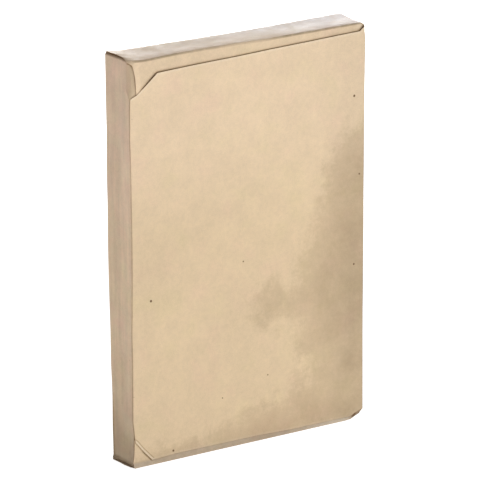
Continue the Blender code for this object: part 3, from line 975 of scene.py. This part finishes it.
# The paper's finish. Lengths are in millimetres, colours are linear. Of a cloud, the first
# numbers are its size, detail and roughness; of a ramp, where it starts and ends, and then the
# values before and after it.
paper = {
    # Darker towards the foot: painted shade, as the light falls off downwards
    "head": (0.766, 0.582, 0.382),
    "foot": (0.708, 0.535, 0.332),
    "footToHead": (72, 128),
    "clouds": ((34.0, 0.035), (7.0, 0.03), (1.6, 0.03), (0.45, 0.04)),   # size and strength
    "cloudSpread": (0.25, 0.75),
    # A drift of hue between pinkish and olive
    "hues": (11.0, 2.0),
    "pink": ((1.02, 0.99, 1.02), (0.52, 0.75)),
    "olive": ((0.985, 1.005, 0.965), (0.48, 0.25)),
    # The stain, its ragged border, and its depth there and further in
    "stain": (0.735, 0.705, 0.67),
    "ragged": ((6.0, 5.0, 0.72), (0.2, 0.8, -5.0, 5.0)),
    "stainBorder": (-5.0, 4.0, 0, 0.6),
    "stainInside": (1, 18, 0, 0.4),
    "stainClouds": ((13.0,), (0.3, 0.7, 0.85, 1.15)),
    # Dark specks on the front: x, z and radius; how flat the pattern is; and small ones anywhere
    "speck": (0.14, 0.068, 0.015),
    "specks": ((95.3, 121.7, 0.5), (95.5, 58.9, 0.42), (7.8, 60.6, 0.5), (16.8, 3.4, 0.45),
               (57.7, 24.0, 0.28), (47.1, 68.3, 0.3), (97.7, 92.4, 0.36), (38.0, 19.0, 0.26),
               # The last four are painted shadow in the gap under the sheet's lower right corner
               (94.9, 1.05, 0.35), (95.35, 1.25, 0.45), (95.8, 1.5, 0.45), (96.25, 1.8, 0.35)),
    "speckEdge": (1.2, 0.6),
    "speckThrough": 0.2,
    "smallCells": 7.0,
    "smallChosen": (0.72, 0.76),
    "smallEdge": (0.032, 0.018),
    "smallStrength": 0.45,
    # The narrow sides: which way a side or the top faces, streaks down them, and the colours of
    # their painted shade and of the cool painted shade along the foot
    "facesAside": (0.6, 0.85),
    "facesUp": (0.75, 0.95),
    "drawnOut": 0.09,
    "streaks": ((2.2, 2.5), (0.3, 0.7, -0.06, 0.07)),
    "sidePink": ((1.03, 0.97, 1.02), ((6.0, 2.0), (0.3, 0.7))),
    "grime": (0.52, 0.50, 0.45),
    "dust": (0.93, 0.96, 1.08),
    # Painted light falloff: darker towards the right edge and the foot
    "handledRight": (26, 47, 0, 0.105),
    "handledFoot": (11, 0, 0, 0.07),
    # Painted sheen: the top end is paler towards its right back corner; it is also rougher in its
    # middle
    "rubbed": (0.98, 0.90, 0.85),
    "rubbedAlong": (-14, 62),
    "rubbedBack": 3.0,                  # how much more y counts in that than x
    "rubbedClouds": ((5.0, 4.0), (0.3, 0.65, 0.6, 1.0)),
    "rubbedStrength": 0.85,
    "dulled": 0.07,
    "dulledX": ((-40, -28), (24, 8)),
    "dulledY": (7, -3),
    # Painted shade with some wear in the crease and the folds, a painted highlight with the paler
    # cut paper at the cut edges, and the painted shade of what lies under another layer and of the
    # core
    "crease": (0.60, 0.52, 0.43),
    "fold": (0.62, 0.60, 0.55),
    "foldClouds": ((2.5,), (0.25, 0.6, 0.45, 1.0)),
    "cut": (0.86, 0.74, 0.57),
    "rimStrength": 0.35,
    "cutStrength": 0.75,
    "shade": (0.20, 0.10, 0.022),
    "insideStrength": 0.9,
    "roughness": ((3.0,), (0.3, 0.7, 0.45, 0.57)),
    "shadeRoughness": 0.4,
    "grain": ((0.35, 3.0, 0.6), 0.018),     # and its height
    "ripples": ((5.0, 2.0), 0.10),
    "bump": 0.6,
    "specular": 0.5,
}


class Wiring:
    # Short ways to add and join the nodes of one material
    def __init__(self, name):
        self.material = bpy.data.materials.new(name)
        self.material.use_nodes = True
        self.nodes = self.material.node_tree.nodes
        self.links = self.material.node_tree.links
        self.shader = self.nodes["Principled BSDF"]
        self.count = 0

    def add(self, kind, inputs=(), **settings):
        node = self.nodes.new(kind)
        row, column = divmod(self.count, 9)
        node.location = (180 * column - 1800, 700 - 220 * row)
        self.count += 1
        for key, value in settings.items():
            setattr(node, key, value)
        for key, value in dict(inputs).items():
            if isinstance(value, bpy.types.NodeSocket):
                self.links.new(value, node.inputs[key])
            else:
                node.inputs[key].default_value = value
        return node

    def math(self, operation, a, b=0.0, clamp=False):
        node = self.add("ShaderNodeMath", {0: a, 1: b}, operation=operation, use_clamp=clamp)
        return node.outputs[0]

    def times(self, a, b, clamp=False):
        return self.math("MULTIPLY", a, b, clamp)

    def ramp(self, value, start, end, before=0.0, after=1.0):
        node = self.add("ShaderNodeMapRange", {"Value": value, "From Min": start, "From Max": end,
                                               "To Min": before, "To Max": after},
                        interpolation_type="SMOOTHSTEP")
        return node.outputs["Result"]

    def tint(self, colour, factor, other, blend="MULTIPLY"):
        node = self.add("ShaderNodeMix", data_type="RGBA", blend_type=blend)
        for socket, value in ((node.inputs[0], factor), (node.inputs[6], colour),
                              (node.inputs[7], other)):
            if isinstance(value, bpy.types.NodeSocket):
                self.links.new(value, socket)
            elif socket.type == "RGBA":
                socket.default_value = (*value, 1)
            else:
                socket.default_value = value
        return node.outputs[2]

    def kept(self, name):
        # What keep() has put on the points
        return self.add("ShaderNodeAttribute", attribute_name=name).outputs["Fac"]

    def findPlaces(self, p):
        # Places in millimetres, and whether a point faces sideways or up
        raw = self.add("ShaderNodeTexCoord")
        scaled = self.add("ShaderNodeMapping", {"Vector": raw.outputs["Object"],
                                                "Scale": [1 / mm] * 3})
        self.where = scaled.outputs["Vector"]
        self.x, self.y, self.z = self.add("ShaderNodeSeparateXYZ", {"Vector": self.where}).outputs
        facing = self.add("ShaderNodeSeparateXYZ", {"Vector": raw.outputs["Normal"]})
        self.onSide = self.ramp(self.math("ABSOLUTE", facing.outputs["X"]), *p["facesAside"])
        self.onTop = self.ramp(facing.outputs["Z"], *p["facesUp"])

    def cloud(self, size, detail=3.0, rough=0.55, where=None):
        node = self.add("ShaderNodeTexNoise", {"Vector": where or self.where, "Scale": 1 / size,
                                               "Detail": detail, "Roughness": rough})
        return node.outputs["Fac"]

    def patches(self, cloudAndRamp, where=None):
        cloud, ramp = cloudAndRamp
        return self.ramp(self.cloud(*cloud, where=where), *ramp)


def brightness(wire, p):
    # Soft clouds at four sizes, streaks down the narrow sides, and painted shade where the light
    # falls off towards the right and the foot
    level = 1.0
    for size, strength in p["clouds"]:
        cloud = wire.patches(((size,), (*p["cloudSpread"], -strength, strength)))
        level = wire.math("ADD", cloud, level)
    drawn = wire.add("ShaderNodeMapping", {"Vector": wire.where, "Scale": (1, 1, p["drawnOut"])})
    streaks = wire.patches(p["streaks"], drawn.outputs["Vector"])
    level = wire.math("ADD", level, wire.times(streaks, wire.onSide))
    falloff = wire.math("ADD", wire.ramp(wire.x, *p["handledRight"]),
                        wire.ramp(wire.z, *p["handledFoot"]))
    falloff = wire.times(falloff, wire.math("SUBTRACT", 1.0, wire.onTop))
    return wire.math("SUBTRACT", level, falloff)


def plainPaper(wire, p):
    # Darker towards the foot: painted shade
    colour = wire.tint(p["foot"], wire.ramp(wire.z, *p["footToHead"]), p["head"], "MIX")
    hues = wire.cloud(*p["hues"])
    for name in ("pink", "olive"):
        hue, limits = p[name]
        colour = wire.tint(colour, wire.ramp(hues, *limits), hue)
    return colour


def stained(wire, colour, p):
    border = wire.math("ADD", wire.kept("stain"), wire.patches(p["ragged"]))
    depth = wire.math("ADD", wire.ramp(border, *p["stainBorder"]),
                      wire.ramp(border, *p["stainInside"]))
    depth = wire.times(depth, wire.patches(p["stainClouds"]), clamp=True)
    return wire.tint(colour, depth, p["stain"])


def specked(wire, colour, p):
    # Distances to the specks hardly count y, so that each goes through the sheet's layers.
    nearest = 9.0                       # further than any speck reaches
    through = p["speckThrough"]
    flat = wire.add("ShaderNodeVectorMath", {0: wire.where, 1: (1, through, 1)},
                    operation="MULTIPLY").outputs[0]
    for x, z, radius in p["specks"]:
        there = (x + low.x / mm, through * low.y / mm, z)
        gap = wire.add("ShaderNodeVectorMath", {0: flat, 1: there}, operation="DISTANCE")
        gap = wire.math("DIVIDE", gap.outputs["Value"], radius)
        nearest = wire.math("MINIMUM", gap, nearest)
    colour = wire.tint(colour, wire.ramp(nearest, *p["speckEdge"]), p["speck"], "MIX")
    cells = wire.add("ShaderNodeTexVoronoi", {"Vector": wire.where, "Scale": 1 / p["smallCells"]})
    random = wire.add("ShaderNodeSeparateColor", {"Color": cells.outputs["Color"]}).outputs[0]
    small = wire.times(wire.ramp(cells.outputs["Distance"], *p["smallEdge"]),
                       wire.ramp(random, *p["smallChosen"]))
    return wire.tint(colour, wire.times(small, p["smallStrength"]), p["speck"], "MIX")


def sideTintAndShade(wire, colour, p):
    hue, patches = p["sidePink"]
    colour = wire.tint(colour, wire.times(wire.patches(patches), wire.onSide), hue)
    # Painted shade on the narrow sides, then cool painted shade along the foot
    colour = wire.tint(colour, wire.kept("foot"), p["grime"])
    return wire.tint(colour, wire.kept("dust"), p["dust"])


def paintedSheenOnTop(wire, colour, p):
    # Painted sheen, paler towards the top's right back corner
    along = wire.math("ADD", wire.x, wire.times(wire.y, p["rubbedBack"]))
    rubbed = wire.times(wire.ramp(along, *p["rubbedAlong"]), wire.onTop)
    rubbed = wire.times(rubbed, wire.patches(p["rubbedClouds"]))
    return wire.tint(colour, wire.times(rubbed, p["rubbedStrength"]), p["rubbed"], "MIX")


def worn(wire, colour, p):
    # Painted shade in the crease and the folds, with some wear in the folds, and a painted
    # highlight with the paler cut paper at the cut edges
    colour = wire.tint(colour, wire.kept("crease"), p["crease"])
    folds = wire.times(wire.kept("fold"), wire.patches(p["foldClouds"]))
    colour = wire.tint(colour, folds, p["fold"])
    return wire.tint(colour, wire.times(wire.kept("rim"), p["rimStrength"]), p["cut"], "MIX")


def addSurface(wire, p):
    rough = wire.math("ADD", wire.patches(p["roughness"]),
                      wire.times(wire.kept("under"), p["shadeRoughness"]), clamp=True)
    left, right = (wire.ramp(wire.x, *limits) for limits in p["dulledX"])
    dull = wire.times(wire.times(left, right), wire.ramp(wire.y, *p["dulledY"]))
    dull = wire.times(wire.times(dull, wire.onTop), p["dulled"])
    wire.links.new(wire.math("ADD", rough, dull), wire.shader.inputs["Roughness"])
    grain, ripples = (wire.times(wire.cloud(*cloud), height)
                      for cloud, height in (p["grain"], p["ripples"]))
    bump = wire.add("ShaderNodeBump", {"Height": wire.math("ADD", grain, ripples),
                                       "Strength": p["bump"], "Distance": mm})
    wire.links.new(bump.outputs["Normal"], wire.shader.inputs["Normal"])
    wire.shader.inputs["Specular IOR Level"].default_value = p["specular"]


def paperMaterial(name, p, isCut=False, isInside=False):
    wire = Wiring(name)
    wire.findPlaces(p)
    colour = plainPaper(wire, p)
    for layer in (stained, specked, sideTintAndShade, paintedSheenOnTop, worn):
        colour = layer(wire, colour, p)
    if isCut:
        # The cut edge is paler: partly the cut paper's own colour, partly a painted highlight
        colour = wire.tint(colour, p["cutStrength"], p["cut"], "MIX")
    lit = wire.add("ShaderNodeVectorMath", {0: colour, "Scale": brightness(wire, p)},
                   operation="SCALE")
    # Painted shade where a layer lies under another, mixed over the colour
    colour = wire.tint(lit.outputs[0], wire.kept("under"), p["shade"], "MIX")
    # The core, seen only through the gaps, is darkened to the shade colour: painted shade
    if isInside:
        colour = wire.tint(colour, p["insideStrength"], p["shade"], "MIX")
    wire.links.new(colour, wire.shader.inputs["Base Color"])
    addSurface(wire, p)
    return wire.material


wrapperSheet.data.materials.append(paperMaterial("wrapping_paper", paper))
wrapperSheet.data.materials.append(paperMaterial("cut_paper_edge", paper, isCut=True))
brick.data.materials.append(paperMaterial("inner_paper", paper, isInside=True))

for piece in (wrapperSheet, brick):
    workOn(piece)
    bpy.ops.object.shade_smooth_by_angle(angle=math.radians(35))
    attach(piece, "root")
    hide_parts("wrapped_brick")
print("paper finished")


# The floor, the light and the camera
studio = {
    "floor": (0.45, 0.45, 0.45),
    "floorGlow": 0.9,
    "floorRoughness": 0.9,
    "floorSize": 12,
    "floorGap": 0.00002,
    "sky": (1.02, 1.0, 1.08),
    "skyStrength": 0.33,
    "aim": (0, 0, 0.07),
    "key": (34, 26, 0.8, 0.45, 2.3),        # azimuth, elevation, distance, size, watts
    "keyColour": (0.95, 0.98, 0.95),
    "rim": (144, 13, 0.7, 0.45, 2.6),
    "rimColour": (1, 1, 1),
    "camera": (-841.37, -1291.8, 546.6),    # in the pack's millimetres
    "cameraTurn": (34.54, 16.68, 0.09),     # to the right, down, and rolled
    "lens": 339.7,
    "sensor": 36,
}


def makeFloor(s):
    deselectAll()
    bpy.ops.mesh.primitive_plane_add(size=s["floorSize"], location=(0, 0, -s["floorGap"]))
    floor = bpy.context.object
    floor.name = "floor"
    wire = Wiring("pale_floor")
    wire.shader.inputs["Base Color"].default_value = (*s["floor"], 1)
    wire.shader.inputs["Roughness"].default_value = s["floorRoughness"]
    wire.shader.inputs["Emission Color"].default_value = (1, 1, 1, 1)
    wire.shader.inputs["Emission Strength"].default_value = s["floorGlow"]
    floor.data.materials.append(wire.material)


def makeLight(name, s):
    # Azimuth and elevation say where the light stands, seen from the pack; 0 is in front of it.
    azimuth, elevation, distance, size, power = s[name]
    around, rise = math.radians(azimuth), math.radians(elevation)
    out = Vector((math.sin(around) * math.cos(rise), -math.cos(around) * math.cos(rise),
                  math.sin(rise)))
    light = bpy.data.lights.new(name, "AREA")
    light.shape = "DISK"
    light.size = size
    light.energy = power
    light.color = s[name + "Colour"]
    lamp = bpy.data.objects.new(name, light)
    bpy.context.collection.objects.link(lamp)
    lamp.location = Vector(s["aim"]) + out * distance
    lamp.rotation_euler = out.to_track_quat("Z", "Y").to_euler()
    lamp.visible_camera = False


def makeWorld(s):
    world = bpy.data.worlds.new("studio")
    world.use_nodes = True
    back = world.node_tree.nodes["Background"]
    back.inputs["Color"].default_value = (*s["sky"], 1)
    back.inputs["Strength"].default_value = s["skyStrength"]
    bpy.context.scene.world = world


def makeCamera(s):
    yaw, pitch, roll = (math.radians(angle) for angle in s["cameraTurn"])
    data = bpy.data.cameras.new("camera")
    data.sensor_width = s["sensor"]
    data.lens = s["lens"]
    camera = bpy.data.objects.new("camera", data)
    bpy.context.collection.objects.link(camera)
    camera.matrix_world = (Matrix.Translation(place(*s["camera"]))
                           @ Matrix.Rotation(-yaw, 4, "Z")
                           @ Matrix.Rotation(math.pi / 2 - pitch, 4, "X")
                           @ Matrix.Rotation(-roll, 4, "Z"))
    bpy.context.scene.camera = camera


makeFloor(studio)
makeWorld(studio)
makeLight("key", studio)
makeLight("rim", studio)
makeCamera(studio)
bpy.context.scene.view_settings.view_transform = "Standard"
print("studio set")
